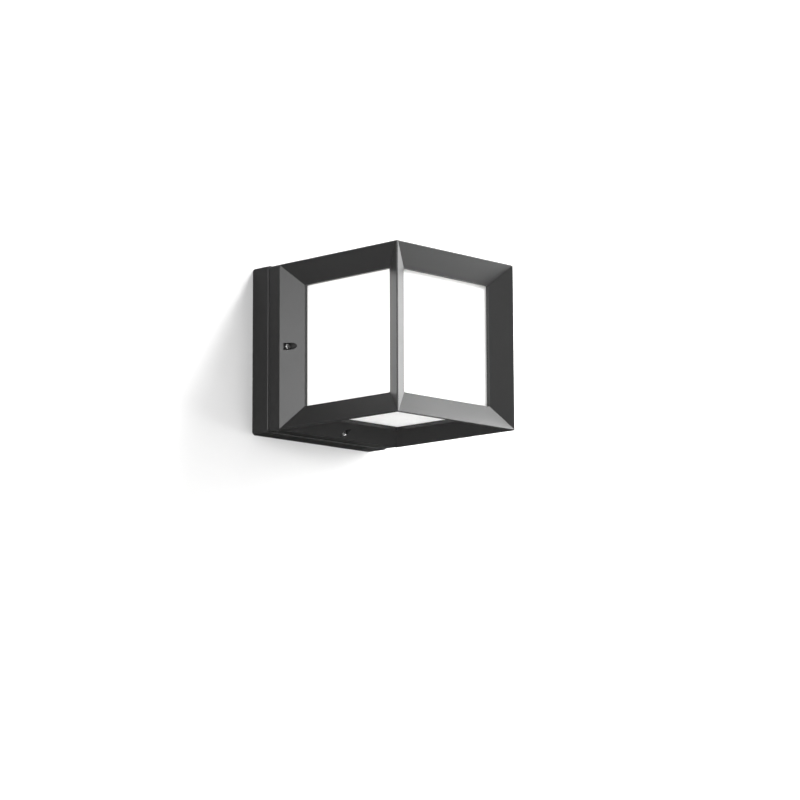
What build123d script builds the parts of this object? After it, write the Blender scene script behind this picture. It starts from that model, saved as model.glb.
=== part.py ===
from build123d import *
import math
import os

# Outdoor wall lantern: a square die-cast base screwed to the wall, and a cube-shaped lantern head that
# three captive screws hold to it. The head is a cast cage with bevelled members, closed on top and glazed
# on its front, sides and underside by one opal box. An E27 lamp stands on a gear tray inside.
#
# Frame: millimetres, +Z up, +Y into the wall, origin at the centre of the base's back face.
# "out" is a distance from the wall, so a point at out = 20 has y = -20.

# ---- driving dimensions -------------------------------------------------------------------------------
SIDE = 150.0               # height and width of the head
BASE_SIDE = 151.6          # the base stands a little proud of the head all round
BASE_DEPTH = 20.0          # wall to the seam between base and head
SEAM_GAP = 0.1             # shut gap between base and head
BEVEL_OUT = 33.7           # where the head's flat rim ends and its bevels start
TOTAL_DEPTH = 179.2        # wall to front

# cast cage
MEMBER = 20.5              # width of a bevelled member, edge of cube to window
BEVEL_DROP = 11.8          # how far a member slopes in over that width
REVEAL = 3.0               # straight edge of a window behind the bevel
LAND = 1.0                 # narrow flat left along each cube edge
NEAR_LAND = 0.3            # flat between the rim and the first bevel
RIDGE_RADIUS = 0.9         # rounding of the front and lower cube edges
ROOF_RADIUS = 2.5          # rounding of the cube's top edges
ROOF = 3.5                 # thickness of the closed top
WINDOW_RADIUS = 1.2        # corners of a window
RIM_RADIUS = 3.0
RIM_WALL = 3.0
SHOULDER_OUT = 31.7        # ledge inside the head that the diffuser flange is clamped against
SEAM_CHAMFER = 0.5

# base casting
BASE_RADIUS = 3.5
BASE_WALL = 3.0
BASE_INNER_RADIUS = 2.0
BACK_WALL = 3.0
UPSTAND_OUTER = 128.0      # inner wall that carries the head seal
UPSTAND_INNER = 122.0
UPSTAND_OUT = 24.5
BOSS_WIDTH = 10.0          # bosses that the captive screws run into
BOSS_BORE_OUT = 8.0        # bottom of their tapped holes
GASKET_OUTER = 139.0       # groove for the wall gasket
GASKET_INNER = 127.0
GASKET_THICK = 1.5
GASKET_PLAY = 0.2          # gap each side of the gasket in its groove
HEAD_SEAL_OVERLAP = 0.5    # how far the head seal reaches past the upstand on each side

# opal diffuser and how it is clamped
DIFFUSER_WALL = 2.5
FIT_GAP = 0.1
FLANGE = 133.0
FLANGE_RADIUS = 10.0
FLANGE_THICK = 2.5
SEAL_THICK = 1.5
RETAINER_THICK = 1.5
RETAINER_PLAY = 0.3        # retainer past the flange, all round
RETAINER_OPENING = 113.0
RETAINER_EAR = 16.0
RETAINER_EAR_AT = 63.4     # centre of an ear
RETAINER_SCREW_AT = 67.5   # retainer screws stand at (+-67.5, +-67.5)
PILLAR_RADIUS = 4.0

# captive screws, M3 socket cap
POCKET_RADIUS = 3.1
POCKET_INSET = 5.0         # screw axis below the head's side face
POCKET_OUT = 37.1          # floor of the screw pocket
POCKET_LENGTH = 16.0       # long enough to run out through the bevel
POCKET_SEAL = 1.2          # depth of the seat for the rubber washer
POCKET_SEAL_RADIUS = 2.6
SCREW_RADIUS = 1.5
SCREW_HEAD_RADIUS = 2.75
SCREW_HEAD = 3.0
SCREW_TIP_OUT = 13.0
SCREW_TRAVEL = 8.0         # backs out until its tip leaves the base
RUNNING = 0.05             # radial clearance of a screw in its tapped hole

# gear tray
TRAY = 120.0
TRAY_OUT = 21.0
TRAY_THICK = 1.0
DISH_OUT = 11.0
DISH_FLOOR_RADIUS = 30.0
DISH_MOUTH_RADIUS = 38.0
TRAY_BOSS = 52.0           # tray bosses stand at (+-52, +-52)
TRAY_HOLE_RADIUS = 5.5     # driver access to a wall screw
LEAD_HOLE_RADIUS = 7.0

# wall interface
WALL_HOLE_SPACING = 96.0
WALL_HOLE_RADIUS = 2.6
CABLE_Z = -45.0
CABLE_RADIUS = 4.0
GROMMET_SEAT_RADIUS = 8.0
WASHER_RADIUS = 5.5        # rubber washers that grip the wall screws
WASHER_BORE = 2.0

# E27 holder and lamp
HOLDER_BACK = DISH_OUT + TRAY_THICK
HOLDER_SCREW_X = 15.5
HOLDER_OUT = 62.0          # mouth of the holder
HOLDER_FLOOR_OUT = 31.0
HOLDER_RADIUS = 20.5
HOLDER_FOOT_RADIUS = 23.0
RECESS_OUT = 22.0          # wiring recess in the holder's foot
RIVET_RADIUS = 1.1
RIVET_TAIL_OUT = 21.0
CENTRE_RIVET_Z = 6.0
SHELL_RIVET_Z = -10.8
SHELL_INNER = 13.35
SHELL_OUTER = 14.1
CAP_RADIUS = 13.1
CAP_SKIRT_OUT = 60.5
LAMP_LENGTH = 97.3         # contact to crown
LAMP_RADIUS = 27.5
LAMP_CONTACT_OUT = 34.2
LAMP_CROWN_OUT = LAMP_CONTACT_OUT + LAMP_LENGTH
DOME_SEAT_OUT = 92.0
DOME_SEAT_RADIUS = 25.5
DOME_WALL = 1.2

# wiring
WIRE_RADIUS = 1.2
WIRE_START_Z = 43.0        # wire end inside its clamp
RUN_OUT = 6.3              # wires run between the back wall and the dish
BLOCK_PITCH = 10.0
BLOCK_Z = 46.0
BLOCK_DEPTH = 14.0
BLOCK_HEIGHT = 18.0
CLAMP_SCREW_Z = 4.5        # clamping screws above and below the block's middle
PORT_OUT = BACK_WALL + 5.0
POLES = {"earth": -BLOCK_PITCH, "neutral": 0.0, "live": BLOCK_PITCH}
EARTH_AT = (-40.0, -38.0)
EARTH_OUT = 7.0

HALF = SIDE / 2
BASE_HALF = BASE_SIDE / 2
HEAD_OUT = BASE_DEPTH + SEAM_GAP
GLAZING_DEPTH = BEVEL_DROP + REVEAL            # cube face to diffuser
CAVITY_HALF = HALF - GLAZING_DEPTH
CAVITY_END = TOTAL_DEPTH - GLAZING_DEPTH
WINDOW_NEAR = BEVEL_OUT + MEMBER               # window edge nearest the wall
WINDOW_FAR = TOTAL_DEPTH - MEMBER
WINDOW_HALF = HALF - MEMBER
FLANGE_OUT = SHOULDER_OUT - SEAL_THICK - FLANGE_THICK
RETAINER_OUT = FLANGE_OUT - RETAINER_THICK
SCREW_ANGLES = {"left": 0.0, "right": 180.0, "bottom": -90.0}   # turn about Y from the left side
CORNERS = [(sx, sz) for sx in (-1, 1) for sz in (-1, 1)]


# ---- small helpers ------------------------------------------------------------------------------------
def wall_plane(out):
    """Plane parallel to the wall at this distance: local x is X, local y is Z, and its normal points out."""
    return Plane(origin=(0, -out, 0), x_dir=(1, 0, 0), z_dir=(0, -1, 0))


def slab(width, height, start, end, radius=0.0, at=(0.0, 0.0)):
    """Rectangular block between two distances from the wall, with rounded corners."""
    outline = RectangleRounded(width, height, radius) if radius else Rectangle(width, height)
    return extrude(wall_plane(start) * Pos(*at) * outline, amount=end - start)


def rod(radius, start, end, at=(0.0, 0.0)):
    """Round bar between two distances from the wall."""
    return extrude(wall_plane(start) * Pos(*at) * Circle(radius), amount=end - start)


def tube(outer, inner, start, end, at=(0.0, 0.0)):
    """Round tube between two distances from the wall."""
    return rod(outer, start, end, at) - rod(inner, start, end, at)


def turned(points):
    """Body of revolution about the wall normal, from (radius, out) points."""
    outline = Polyline(*[(r, -out) for r, out in points], close=True)
    return revolve(make_face(outline), axis=Axis.Y)


def socket_screw(head_out, length, radius, head_radius, head, at=(0.0, 0.0)):
    """Screw that points at the wall, head furthest out, with a six-sided socket."""
    body = rod(radius, head_out - length, head_out, at) + rod(head_radius, head_out, head_out + head, at)
    socket = wall_plane(head_out + head * 0.4) * Pos(*at) * RegularPolygon(head_radius * 0.5, 6)
    return body - extrude(socket, amount=head)


def pan_screw(head_out, length, radius, head_radius, head, at=(0.0, 0.0)):
    """Cross-slotted screw driven from the wall side: its head is nearest the wall."""
    body = rod(radius, head_out, head_out + length, at) + rod(head_radius, head_out - head, head_out, at)
    slot = slab(head_radius * 1.3, 0.8, head_out - head, head_out - head * 0.5, at=at)
    cross = slab(0.8, head_radius * 1.3, head_out - head, head_out - head * 0.5, at=at)
    return body - slot - cross


def front_screw(head_out, length, radius, head_radius, head, at=(0.0, 0.0)):
    """Cross-slotted screw driven from the front: its head is furthest from the wall."""
    body = rod(radius, head_out - length, head_out, at) + rod(head_radius, head_out, head_out + head, at)
    slot = slab(head_radius * 1.3, 0.8, head_out + head * 0.5, head_out + head, at=at)
    cross = slab(0.8, head_radius * 1.3, head_out + head * 0.5, head_out + head, at=at)
    return body - slot - cross


def turned_about_y(shape, angle):
    """The shape turned about the wall normal: the left side goes to the side that the angle names."""
    return Rot(0, angle, 0) * shape


def write(name, shape):
    """Writes one named piece, or a group of like pieces, as its own STEP file."""
    export_step(shape, f"parts/{name}.step")


# ---- lantern head -------------------------------------------------------------------------------------
def rounded_off(block, radius, corner, into_x, into_y, length):
    """The block with one straight edge rounded, for this length each way from a point on the edge. The two
    directions point from the edge into the block's faces."""
    plane = Plane(origin=corner, x_dir=into_x, z_dir=Vector(into_x).cross(Vector(into_y)))
    waste = Pos((radius - 1) / 2, (radius - 1) / 2) * Rectangle(radius + 1, radius + 1)
    waste -= Pos(radius, radius) * Circle(radius)
    return block - extrude(plane * waste, amount=length + 1) - extrude(plane * waste, amount=-length - 1)


def head_envelope():
    """Outside of rim and cube before the windows. Every cube edge is rounded, the roof's more than others."""
    cube = slab(SIDE, SIDE, BEVEL_OUT, TOTAL_DEPTH)
    middle = -(TOTAL_DEPTH + BEVEL_OUT) / 2
    reach = (TOTAL_DEPTH - BEVEL_OUT) / 2
    for sz, radius in ((1, ROOF_RADIUS), (-1, RIDGE_RADIUS)):
        for sx in (-1, 1):
            cube = rounded_off(cube, radius, (sx * HALF, middle, sz * HALF), (-sx, 0, 0), (0, 0, -sz), reach)
        cube = rounded_off(cube, radius, (0, -TOTAL_DEPTH, sz * HALF), (0, 1, 0), (0, 0, -sz), HALF)
    for sx in (-1, 1):
        cube = rounded_off(cube, RIDGE_RADIUS, (sx * HALF, -TOTAL_DEPTH, 0), (-sx, 0, 0), (0, 1, 0), HALF)
    rim = slab(SIDE, SIDE, HEAD_OUT, BEVEL_OUT, RIM_RADIUS)
    rim = chamfer(rim.faces().sort_by(Axis.Y)[-1].edges(), SEAM_CHAMFER)
    return cube + rim


def window_cut(plane, near, far, half, start_land):
    """Bevelled recess and through window of one face. The plane lies on the face and looks inwards. The
    window runs from near to far along its local x, and from -half to half along its local y."""
    outer_near, outer_far = near - MEMBER + start_land, far + MEMBER - LAND
    outer_half = half + MEMBER - LAND
    outer = Pos((outer_near + outer_far) / 2, 0) * Rectangle(outer_far - outer_near, 2 * outer_half)
    inner = Pos((near + far) / 2, 0, BEVEL_DROP) * Rectangle(far - near, 2 * half)
    recess = loft([plane * outer, plane * inner], ruled=True)
    hole = Pos((near + far) / 2, 0, BEVEL_DROP / 2) * RectangleRounded(far - near, 2 * half, WINDOW_RADIUS)
    return recess + extrude(plane * hole, amount=BEVEL_DROP / 2 + REVEAL + 1)


def face_planes():
    """Face plane, window limits and land at the near side, for each glazed face."""
    outward = (0, -1, 0)
    left = Plane(origin=(-HALF, 0, 0), x_dir=outward, z_dir=(1, 0, 0))
    right = Plane(origin=(HALF, 0, 0), x_dir=outward, z_dir=(-1, 0, 0))
    bottom = Plane(origin=(0, 0, -HALF), x_dir=outward, z_dir=(0, 0, 1))
    front = Plane(origin=(0, -TOTAL_DEPTH, 0), x_dir=(1, 0, 0), z_dir=(0, 1, 0))
    sides = [(plane, WINDOW_NEAR, WINDOW_FAR, NEAR_LAND) for plane in (left, right, bottom)]
    return sides + [(front, -WINDOW_HALF, WINDOW_HALF, LAND)]


def screw_pocket():
    """U-shaped pocket, open to the left side and to the front, with the screw's clearance hole."""
    axis_at = (-HALF + POCKET_INSET, 0)
    end = POCKET_OUT + POCKET_LENGTH
    pocket = rod(POCKET_RADIUS, POCKET_OUT, end, axis_at)
    mouth = slab(POCKET_INSET + 1, 2 * POCKET_RADIUS, POCKET_OUT, end, at=(-HALF + (POCKET_INSET - 1) / 2, 0))
    seal_seat = rod(POCKET_SEAL_RADIUS, POCKET_OUT - POCKET_SEAL, POCKET_OUT, axis_at)
    return pocket + mouth + seal_seat + rod(SCREW_RADIUS + 0.25, SHOULDER_OUT - 1, POCKET_OUT, axis_at)


def retainer_corners():
    """Centres of the four corner screws that clamp the diffuser."""
    return [(RETAINER_SCREW_AT * sx, RETAINER_SCREW_AT * sz) for sx, sz in CORNERS]


def lantern_frame():
    """Cast cage: rim, twelve bevelled members, closed roof, screw pockets and corner pillars."""
    frame = head_envelope()
    for plane, near, far, land in face_planes():
        frame -= window_cut(plane, near, far, WINDOW_HALF, land)
    rim_inner = SIDE - 2 * RIM_WALL
    frame -= slab(rim_inner, rim_inner, HEAD_OUT, SHOULDER_OUT, 2.0)
    frame -= slab(2 * CAVITY_HALF, 2 * CAVITY_HALF, SHOULDER_OUT, CAVITY_END)
    roof_pocket = HALF - ROOF - CAVITY_HALF
    frame -= slab(2 * CAVITY_HALF, roof_pocket + 1, SHOULDER_OUT, CAVITY_END - 2,
                  at=(0, CAVITY_HALF + (roof_pocket - 1) / 2))
    for angle in SCREW_ANGLES.values():
        frame -= turned_about_y(screw_pocket(), angle)
    for at in retainer_corners():
        frame += rod(PILLAR_RADIUS, FLANGE_OUT, SHOULDER_OUT + 0.5, at)
        frame -= rod(SCREW_RADIUS + RUNNING, FLANGE_OUT, SHOULDER_OUT + 6, at)
    return frame


def diffuser():
    """Opal box, open at the back, with a flange that the retainer clamps."""
    outer = 2 * (CAVITY_HALF - FIT_GAP)
    inner = outer - 2 * DIFFUSER_WALL
    end = CAVITY_END - FIT_GAP
    box = slab(outer, outer, FLANGE_OUT, end, 2.0)
    box += slab(FLANGE, FLANGE, FLANGE_OUT, FLANGE_OUT + FLANGE_THICK, FLANGE_RADIUS)
    return box - slab(inner, inner, FLANGE_OUT, end - DIFFUSER_WALL, 1.0)


def diffuser_seal():
    """Flat silicone ring between the flange and the shoulder."""
    start = SHOULDER_OUT - SEAL_THICK
    opening = 2 * (CAVITY_HALF + 0.4)
    ring = slab(FLANGE - 1, FLANGE - 1, start, SHOULDER_OUT, FLANGE_RADIUS)
    return ring - slab(opening, opening, start, SHOULDER_OUT, 2.0)


def diffuser_retainer():
    """Pressed steel frame with an ear at each corner."""
    outer = FLANGE + 2 * RETAINER_PLAY
    frame = slab(outer, outer, RETAINER_OUT, FLANGE_OUT, FLANGE_RADIUS)
    for sx, sz in CORNERS:
        frame += slab(RETAINER_EAR, RETAINER_EAR, RETAINER_OUT, FLANGE_OUT, 4.0,
                      at=(RETAINER_EAR_AT * sx, RETAINER_EAR_AT * sz))
    for at in retainer_corners():
        frame -= rod(SCREW_RADIUS + 0.2, RETAINER_OUT, FLANGE_OUT, at)
    return frame - slab(RETAINER_OPENING, RETAINER_OPENING, RETAINER_OUT, FLANGE_OUT, 4.0)


def retainer_screws():
    """Four short pan-head screws, driven from the wall side."""
    return Compound(children=[pan_screw(RETAINER_OUT, 9, SCREW_RADIUS, 2.75, 2.0, at)
                              for at in retainer_corners()])


def captive_screw():
    """The left-hand captive screw: socket head in the pocket, shank through to the base."""
    length = POCKET_OUT - SCREW_TIP_OUT
    return socket_screw(POCKET_OUT, length, SCREW_RADIUS, SCREW_HEAD_RADIUS, SCREW_HEAD,
                        at=(-HALF + POCKET_INSET, 0))


def captive_ring():
    """Retaining ring on the left-hand screw: it stops at the shoulder when the screw has backed out."""
    start = SHOULDER_OUT - SCREW_TRAVEL
    return tube(1.95, SCREW_RADIUS, start - 0.8, start, at=(-HALF + POCKET_INSET, 0))


def captive_seals():
    """Rubber washer under each captive screw's head."""
    seal = tube(2.5, SCREW_RADIUS + 0.1, POCKET_OUT - 1.1, POCKET_OUT - 0.1, at=(-HALF + POCKET_INSET, 0))
    return Compound(children=[turned_about_y(seal, angle) for angle in SCREW_ANGLES.values()])


# ---- wall base ----------------------------------------------------------------------------------------
def wall_base():
    """Cast tray with outer wall, inner upstand, screw bosses and the wall interface."""
    shell = slab(BASE_SIDE, BASE_SIDE, 0, BASE_DEPTH, BASE_RADIUS)
    shell = chamfer(shell.faces().sort_by(Axis.Y)[0].edges(), SEAM_CHAMFER)
    inner = BASE_SIDE - 2 * BASE_WALL
    shell -= slab(inner, inner, BACK_WALL, BASE_DEPTH, BASE_INNER_RADIUS)
    upstand = slab(UPSTAND_OUTER, UPSTAND_OUTER, BACK_WALL, UPSTAND_OUT, 3.0)
    shell += upstand - slab(UPSTAND_INNER, UPSTAND_INNER, BACK_WALL, UPSTAND_OUT, 2.0)
    boss_from, boss_to = UPSTAND_OUTER / 2 - 1, BASE_HALF - 1      # each end is let 1 mm into a wall
    for angle in SCREW_ANGLES.values():
        boss = slab(boss_to - boss_from, BOSS_WIDTH, BACK_WALL, BASE_DEPTH,
                    at=(-(boss_to + boss_from) / 2, 0))
        bore = rod(SCREW_RADIUS + RUNNING, BOSS_BORE_OUT, BASE_DEPTH, at=(-HALF + POCKET_INSET, 0))
        shell = shell + turned_about_y(boss, angle) - turned_about_y(bore, angle)
    for sx, sz in CORNERS:
        at = (TRAY_BOSS * sx, TRAY_BOSS * sz)
        shell += rod(4.0, BACK_WALL, TRAY_OUT, at)
        shell -= rod(SCREW_RADIUS + RUNNING, 12.0, TRAY_OUT, at)
    shell += rod(4.5, BACK_WALL, EARTH_OUT, EARTH_AT)
    shell -= rod(2.0 + RUNNING, 3.5, EARTH_OUT, EARTH_AT)
    shell -= rod(GROMMET_SEAT_RADIUS, 0, BACK_WALL, at=(0, CABLE_Z))
    for side in (-1, 1):
        at = (side * WALL_HOLE_SPACING / 2, 0)
        shell -= rod(WALL_HOLE_RADIUS, 0, BACK_WALL, at)
    return shell - gasket_ring(GASKET_OUTER, GASKET_INNER)


def gasket_ring(outer, inner):
    """Square ring let into the back of the base."""
    return slab(outer, outer, 0, GASKET_THICK, 4.0) - slab(inner, inner, 0, GASKET_THICK, 3.0)


def wall_gasket():
    """Rubber ring in its groove, flush with the back face."""
    return gasket_ring(GASKET_OUTER - 2 * GASKET_PLAY, GASKET_INNER + 2 * GASKET_PLAY)


def cable_grommet():
    """Rubber bush with a lip on each side of the back wall."""
    flange = rod(GROMMET_SEAT_RADIUS + 2, BACK_WALL, BACK_WALL + 1.5, at=(0, CABLE_Z))
    body = rod(GROMMET_SEAT_RADIUS - 0.05, 0.2, BACK_WALL, at=(0, CABLE_Z))
    nose = rod(CABLE_RADIUS + 1.5, BACK_WALL + 1.5, BACK_WALL + 5, at=(0, CABLE_Z))
    return flange + body + nose - rod(CABLE_RADIUS, 0.2, BACK_WALL + 5, at=(0, CABLE_Z))


def fixing_hole_seals():
    """Rubber washer inside the base round each wall screw hole, tight on the screw."""
    return Compound(children=[tube(WASHER_RADIUS, WASHER_BORE, BACK_WALL, BACK_WALL + 1.2,
                                   at=(side * WALL_HOLE_SPACING / 2, 0)) for side in (-1, 1)])


def head_seal():
    """Silicone ring on the upstand, pressed by the diffuser retainer."""
    start, end = UPSTAND_OUT, RETAINER_OUT - SEAM_GAP
    outer = UPSTAND_OUTER + 2 * HEAD_SEAL_OVERLAP
    inner = UPSTAND_INNER - 2 * HEAD_SEAL_OVERLAP
    return slab(outer, outer, start, end, 4.0) - slab(inner, inner, start, end, 2.0)


def gear_tray():
    """Pressed steel plate with a dish that carries the lamp holder."""
    top = TRAY_OUT + TRAY_THICK
    floor = DISH_OUT + TRAY_THICK
    wall = TRAY_THICK * 0.8
    dish = turned([(0, DISH_OUT), (DISH_FLOOR_RADIUS, DISH_OUT), (DISH_MOUTH_RADIUS, TRAY_OUT),
                   (DISH_MOUTH_RADIUS + 2, TRAY_OUT), (DISH_MOUTH_RADIUS + 2, top),
                   (DISH_MOUTH_RADIUS - wall, top), (DISH_FLOOR_RADIUS - wall, floor), (0, floor)])
    plate = slab(TRAY, TRAY, TRAY_OUT, top, 3.0) - rod(DISH_MOUTH_RADIUS + 1, TRAY_OUT, top)
    tray = plate + dish - rod(LEAD_HOLE_RADIUS, DISH_OUT, floor)
    for sx, sz in CORNERS:
        tray -= rod(SCREW_RADIUS + 0.2, TRAY_OUT, top, at=(TRAY_BOSS * sx, TRAY_BOSS * sz))
    for side in (-1, 1):
        tray -= rod(TRAY_HOLE_RADIUS, TRAY_OUT, top, at=(side * WALL_HOLE_SPACING / 2, 0))
        tray -= rod(1.9, DISH_OUT, floor, at=(side * HOLDER_SCREW_X, 0))
    return tray


def tray_grommet():
    """Rubber bush that guards the two lamp leads in the dish floor."""
    floor = DISH_OUT + TRAY_THICK
    return tube(LEAD_HOLE_RADIUS - 0.05, 5.5, DISH_OUT, floor) + tube(8.5, 5.5, DISH_OUT - 1, DISH_OUT)


def tray_screws():
    """Four screws through the tray into the base bosses."""
    top = TRAY_OUT + TRAY_THICK
    places = [(TRAY_BOSS * sx, TRAY_BOSS * sz) for sx, sz in CORNERS]
    return Compound(children=[front_screw(top, 8, SCREW_RADIUS, 2.75, 2.0, at) for at in places])


# ---- lamp holder --------------------------------------------------------------------------------------
def lamp_holder_body():
    """Glazed porcelain E27 holder with a wiring recess in its foot."""
    body = turned([(0, HOLDER_BACK), (HOLDER_FOOT_RADIUS, HOLDER_BACK), (HOLDER_FOOT_RADIUS, 23),
                   (HOLDER_FOOT_RADIUS - 0.6, 24.5), (HOLDER_RADIUS, 27), (HOLDER_RADIUS, HOLDER_OUT - 1.5),
                   (HOLDER_RADIUS - 1.5, HOLDER_OUT), (16.2, HOLDER_OUT), (15.2, HOLDER_OUT - 1),
                   (15.2, HOLDER_FLOOR_OUT), (0, HOLDER_FLOOR_OUT)])
    body -= rod(12.2, HOLDER_BACK, RECESS_OUT)
    for side in (-1, 1):
        body -= rod(1.75 + RUNNING, HOLDER_BACK, 21.0, at=(side * HOLDER_SCREW_X, 0))
    for z in (CENTRE_RIVET_Z, SHELL_RIVET_Z):
        body -= rod(RIVET_RADIUS + RUNNING, RECESS_OUT, HOLDER_FLOOR_OUT, at=(0, z))
    return body


def lamp_holder_shell():
    """Nickel-plated screw sleeve with an inward foot."""
    sleeve = tube(SHELL_OUTER, SHELL_INNER, HOLDER_FLOOR_OUT, 57.0)
    lip = tube(SHELL_OUTER + 0.7, SHELL_INNER + 0.2, 56.2, 57.0)
    foot = tube(SHELL_INNER + 0.2, 9.5, HOLDER_FLOOR_OUT, HOLDER_FLOOR_OUT + 0.7)
    rivet = rod(RIVET_RADIUS, RIVET_TAIL_OUT, HOLDER_FLOOR_OUT + 0.3, at=(0, SHELL_RIVET_Z))
    return sleeve + lip + foot + rivet


def lamp_holder_contact():
    """Sprung centre tongue, riveted through the holder's web."""
    low, high = HOLDER_FLOOR_OUT, LAMP_CONTACT_OUT - 0.15
    outline = Polyline((7.5, low), (-4.0, low), (-6.5, high - 0.6), (2.5, high), (2.5, high - 0.5),
                       (-5.4, high - 1.0), (-3.6, low + 0.6), (7.5, low + 0.6), close=True)
    side_view = Plane(origin=(-2.5, 0, 0), x_dir=(0, 0, 1), z_dir=(1, 0, 0))   # local y points out
    blade = extrude(side_view * make_face(outline), amount=5.0)
    return blade + rod(RIVET_RADIUS, RIVET_TAIL_OUT, low + 0.3, at=(0, CENTRE_RIVET_Z))


def lamp_holder_screws():
    """Two screws from behind the dish into the porcelain foot."""
    return Compound(children=[pan_screw(DISH_OUT, 9, 1.75, 3.2, 2.0, at=(side * HOLDER_SCREW_X, 0))
                              for side in (-1, 1)])


# ---- lamp ---------------------------------------------------------------------------------------------
def lamp_cap():
    """E27 screw cap, drawn with a plain wall at the thread's crest radius."""
    return turned([(CAP_RADIUS - 0.5, 43.0), (CAP_RADIUS, 43.8), (CAP_RADIUS, CAP_SKIRT_OUT),
                   (CAP_RADIUS - 0.4, CAP_SKIRT_OUT), (CAP_RADIUS - 0.4, 44.0), (9.0, 39.0), (8.6, 39.0)])


def lamp_insulator():
    """Black glass between the cap and its contact."""
    return turned([(0, 37.0), (5.5, 37.0), (8.6, 39.0), (8.9, 39.0), (11.5, 42.6), (11.5, 45.0), (0, 45.0)])


def lamp_contact():
    """Solder-faced centre contact."""
    return turned([(0, LAMP_CONTACT_OUT), (3.6, LAMP_CONTACT_OUT + 0.6), (4.8, 36.0), (4.8, 37.0), (0, 37.0)])


def lamp_housing():
    """Flared plastic neck, hollow for the driver."""
    return turned([(12.7, 46.0), (12.7, 60.6), (14.0, 60.6), (14.6, 63.0), (17.2, 70.0), (21.6, 80.0),
                   (24.8, 87.0), (26.2, DOME_SEAT_OUT), (24.4, DOME_SEAT_OUT), (23.0, 87.0), (19.8, 80.0),
                   (15.4, 70.0), (12.0, 62.0), (11.2, 60.0), (11.2, 46.0)])


def lamp_dome():
    """Opal dome: a cylinder-like shoulder that closes in a near half-sphere."""
    centre = LAMP_CROWN_OUT - LAMP_RADIUS
    outside = (Line((DOME_SEAT_RADIUS, -DOME_SEAT_OUT), (LAMP_RADIUS, -centre))
               + RadiusArc((LAMP_RADIUS, -centre), (0, -LAMP_CROWN_OUT), LAMP_RADIUS))
    inner = LAMP_RADIUS - DOME_WALL
    inside = (Line((DOME_SEAT_RADIUS - DOME_WALL, -DOME_SEAT_OUT), (inner, -centre))
              + RadiusArc((inner, -centre), (0, -centre - inner), inner))
    crown = Line((0, -LAMP_CROWN_OUT), (0, -centre - inner))
    seat = Line((DOME_SEAT_RADIUS, -DOME_SEAT_OUT), (DOME_SEAT_RADIUS - DOME_WALL, -DOME_SEAT_OUT))
    return revolve(make_face(outside + inside + crown + seat), axis=Axis.Y)


def lamp_led_board():
    """Aluminium-backed disc that closes the neck under the dome."""
    return rod(23.6, DOME_SEAT_OUT - 1.6, DOME_SEAT_OUT)


def lamp_leds():
    """Ring of LED packages on the board."""
    count, pitch_radius = 10, 15.0
    chips = []
    for i in range(count):
        angle = 2 * math.pi * i / count
        at = (pitch_radius * math.cos(angle), pitch_radius * math.sin(angle))
        chips.append(slab(2.8, 2.8, DOME_SEAT_OUT, DOME_SEAT_OUT + 0.8, at=at))
    return Compound(children=chips)


def lamp_driver():
    """Driver board with a capacitor and a choke, standing in the neck."""
    board = slab(17.0, 1.4, 50.0, 84.0)
    capacitor = Pos(0, -62, 3.9) * Rot(90, 0, 0) * Cylinder(3.2, 12)
    choke = Pos(0, -77, 3.7) * Box(9, 8, 6)
    return board + capacitor + choke


# ---- wiring -------------------------------------------------------------------------------------------
def terminal_block():
    """Three-pole block with a through port and two screw wells for each pole."""
    body = slab(3 * BLOCK_PITCH + 2, BLOCK_HEIGHT, BACK_WALL, BACK_WALL + BLOCK_DEPTH, 1.0, at=(0, BLOCK_Z))
    for x in POLES.values():
        body -= Pos(x, -PORT_OUT, BLOCK_Z) * Cylinder(2.6, BLOCK_HEIGHT)
        for dz in (-CLAMP_SCREW_Z, CLAMP_SCREW_Z):
            body -= rod(2.2, PORT_OUT, BACK_WALL + BLOCK_DEPTH, at=(x, BLOCK_Z + dz))
    for x in (-BLOCK_PITCH / 2, BLOCK_PITCH / 2):
        body -= rod(1.6, BACK_WALL, BACK_WALL + BLOCK_DEPTH, at=(x, BLOCK_Z))
    return body


def terminal_clamps():
    """Brass tube of each pole."""
    clamps = []
    for x in POLES.values():
        barrel = Cylinder(2.5, BLOCK_HEIGHT - 3) - Cylinder(1.5, BLOCK_HEIGHT - 3)
        clamp = Pos(x, -PORT_OUT, BLOCK_Z) * barrel
        for dz in (-CLAMP_SCREW_Z, CLAMP_SCREW_Z):
            clamp -= rod(1.5, PORT_OUT, PORT_OUT + 4, at=(x, BLOCK_Z + dz))
        clamps.append(clamp)
    return Compound(children=clamps)


def terminal_screws():
    """Clamping screws, two for each pole."""
    screws = []
    for x in POLES.values():
        for dz in (-CLAMP_SCREW_Z, CLAMP_SCREW_Z):
            screws.append(front_screw(PORT_OUT + 5.5, 4.2, 1.45, 2.0, 1.6, at=(x, BLOCK_Z + dz)))
    return Compound(children=screws)


def terminal_fixings():
    """Two long screws that hold the block to the base."""
    top = BACK_WALL + BLOCK_DEPTH
    places = [(x, BLOCK_Z) for x in (-BLOCK_PITCH / 2, BLOCK_PITCH / 2)]
    return Compound(children=[rod(1.5, BACK_WALL, top, at) + rod(2.4, top, top + 1.6, at) for at in places])


def earth_screw():
    """M4 earth screw in its boss."""
    return front_screw(EARTH_OUT + 1.6, 4.8, 2.0, 3.6, 2.4, at=EARTH_AT)


def earth_washer():
    """Spring washer under the earth screw's head."""
    return tube(3.6, 2.1, EARTH_OUT + 0.8, EARTH_OUT + 1.6, at=EARTH_AT)


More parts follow.
